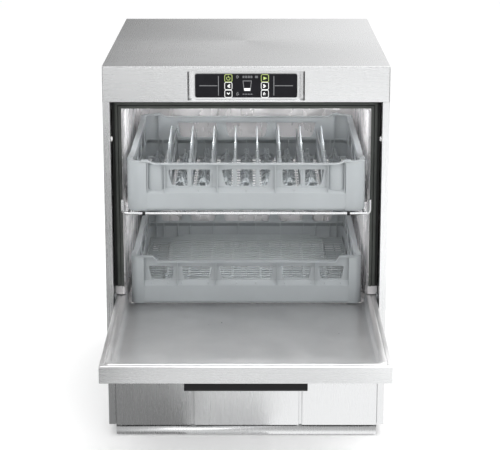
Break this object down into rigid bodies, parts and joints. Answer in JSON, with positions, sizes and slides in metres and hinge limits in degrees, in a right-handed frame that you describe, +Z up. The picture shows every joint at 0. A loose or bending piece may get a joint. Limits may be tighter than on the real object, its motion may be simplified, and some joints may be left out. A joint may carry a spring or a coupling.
{
  "type": "commercial dishwasher",
  "caption": "Undercounter front-loading commercial dishwasher with a drop-down door, a plate rack, a glass rack on a sliding wire carrier and a key panel.",
  "frame": {"origin": "on the floor, under the middle of the box round the machine with its door open", "axes": "+Z up, the door opens towards -Y, +X is to the right when facing the door"},
  "size_m": [0.6, 1.098, 0.82],
  "materials": {
    "steel": "fine straight brushing",
    "chamber_steel": "bright polished sheet",
    "chrome": "polished wire",
    "rack_plastic": "satin moulded",
    "insert_plastic": "satin moulded",
    "black_plastic": "satin black",
    "dark_rubber": "matt",
    "panel_glass": "glossy black panel",
    "white_plastic": "satin white",
    "board_green": "lacquered board",
    "cast_grey": "painted casting",
    "brass": "turned"
  },
  "bodies": {
    "cabinet": {"base_frame": "steel", "foot_front_left": "black_plastic", "foot_front_right": "black_plastic", "foot_rear_left": "black_plastic", "foot_rear_right": "black_plastic", "side_panel_left": "steel", "side_panel_right": "steel", "rear_panel": "steel", "top_panel": "steel", "fascia": "steel", "control_panel": "panel_glass", "control_board": "board_green", "lower_front_panel": "steel", "plinth": "steel", "wash_tank": "chamber_steel", "opening_gasket": "dark_rubber", "catch_stud_left": "white_plastic", "catch_stud_right": "white_plastic", "lower_guide_left": "chamber_steel", "lower_guide_right": "chamber_steel", "upper_guide_left": "chamber_steel", "upper_guide_right": "chamber_steel", "tank_vent": "dark_rubber", "tank_heater": "chrome", "sump": "cast_grey", "sump_filter": "chamber_steel", "lower_spindle": "white_plastic", "upper_spindle": "white_plastic", "wash_riser": "black_plastic", "wash_pump": "cast_grey", "drain_pump": "black_plastic", "rinse_boiler": "chamber_steel", "detergent_doser": "white_plastic", "rinse_aid_doser": "white_plastic", "inlet_valve": "white_plastic", "water_inlet": "brass", "drain_spigot": "black_plastic", "cable_gland": "black_plastic", "hinge_bracket_left": "cast_grey", "hinge_bracket_right": "cast_grey"},
    "door": {"door_outer_skin": "steel", "door_inner_panel": "chamber_steel", "door_handle": "black_plastic", "hinge_arm_left": "cast_grey", "hinge_arm_right": "cast_grey"},
    "lower_rack": {"lower_rack": "rack_plastic", "plate_insert": "insert_plastic"},
    "rack_carrier": {"rack_carrier": "chrome"},
    "upper_rack": {"upper_rack": "rack_plastic"},
    "lower_wash_arm": {"lower_wash_arm": "chamber_steel"},
    "lower_rinse_arm": {"lower_rinse_arm": "chamber_steel"},
    "upper_wash_arm": {"upper_wash_arm": "chamber_steel"},
    "upper_rinse_arm": {"upper_rinse_arm": "chamber_steel"},
    "key_power": {"key_power": "black_plastic"},
    "key_start": {"key_start": "black_plastic"},
    "key_left": {"key_left": "black_plastic"},
    "key_right": {"key_right": "black_plastic"},
    "key_down": {"key_down": "black_plastic"},
    "key_option": {"key_option": "black_plastic"}
  },
  "joints": [
    {"name": "door_hinge", "type": "hinge", "parent": "cabinet", "child": "door", "pos_m": [0, -0.116, 0.31], "axis": [-1, 0, 0], "range_deg": [0, 90]},
    {"name": "carrier_slide", "type": "slide", "parent": "cabinet", "child": "rack_carrier", "axis": [0, 1, 0], "range_m": [0, 0.0801]},
    {"name": "upper_rack_slide", "type": "slide", "parent": "rack_carrier", "child": "upper_rack", "axis": [0, 1, 0], "range_m": [-0.25, 0]},
    {"name": "lower_rack_slide", "type": "slide", "parent": "cabinet", "child": "lower_rack", "axis": [0, 1, 0], "range_m": [-0.285, 0]},
    {"name": "lower_wash_arm_spin", "type": "hinge", "parent": "cabinet", "child": "lower_wash_arm", "pos_m": [0, 0.155, 0.2225], "axis": [0, 0, 1], "continuous": true},
    {"name": "lower_rinse_arm_spin", "type": "hinge", "parent": "cabinet", "child": "lower_rinse_arm", "pos_m": [0, 0.155, 0.2435], "axis": [0, 0, 1], "continuous": true},
    {"name": "upper_wash_arm_spin", "type": "hinge", "parent": "cabinet", "child": "upper_wash_arm", "pos_m": [0, 0.155, 0.6925], "axis": [0, 0, 1], "continuous": true},
    {"name": "upper_rinse_arm_spin", "type": "hinge", "parent": "cabinet", "child": "upper_rinse_arm", "pos_m": [0, 0.155, 0.678], "axis": [0, 0, 1], "continuous": true},
    {"name": "key_power_press", "type": "slide", "parent": "cabinet", "child": "key_power", "axis": [0, 1, 0], "range_m": [0, 0.0008], "stiffness_N_per_m": 600, "springref_m": -0.0015},
    {"name": "key_start_press", "type": "slide", "parent": "cabinet", "child": "key_start", "axis": [0, 1, 0], "range_m": [0, 0.0008], "stiffness_N_per_m": 600, "springref_m": -0.0015},
    {"name": "key_left_press", "type": "slide", "parent": "cabinet", "child": "key_left", "axis": [0, 1, 0], "range_m": [0, 0.0008], "stiffness_N_per_m": 600, "springref_m": -0.0015},
    {"name": "key_right_press", "type": "slide", "parent": "cabinet", "child": "key_right", "axis": [0, 1, 0], "range_m": [0, 0.0008], "stiffness_N_per_m": 600, "springref_m": -0.0015},
    {"name": "key_down_press", "type": "slide", "parent": "cabinet", "child": "key_down", "axis": [0, 1, 0], "range_m": [0, 0.0008], "stiffness_N_per_m": 600, "springref_m": -0.0015},
    {"name": "key_option_press", "type": "slide", "parent": "cabinet", "child": "key_option", "axis": [0, 1, 0], "range_m": [0, 0.0008], "stiffness_N_per_m": 600, "springref_m": -0.0015}
  ],
  "couplings": [
    {"joint": "carrier_slide", "follows": "door_hinge", "m_per_rad": 0.05093}
  ]
}
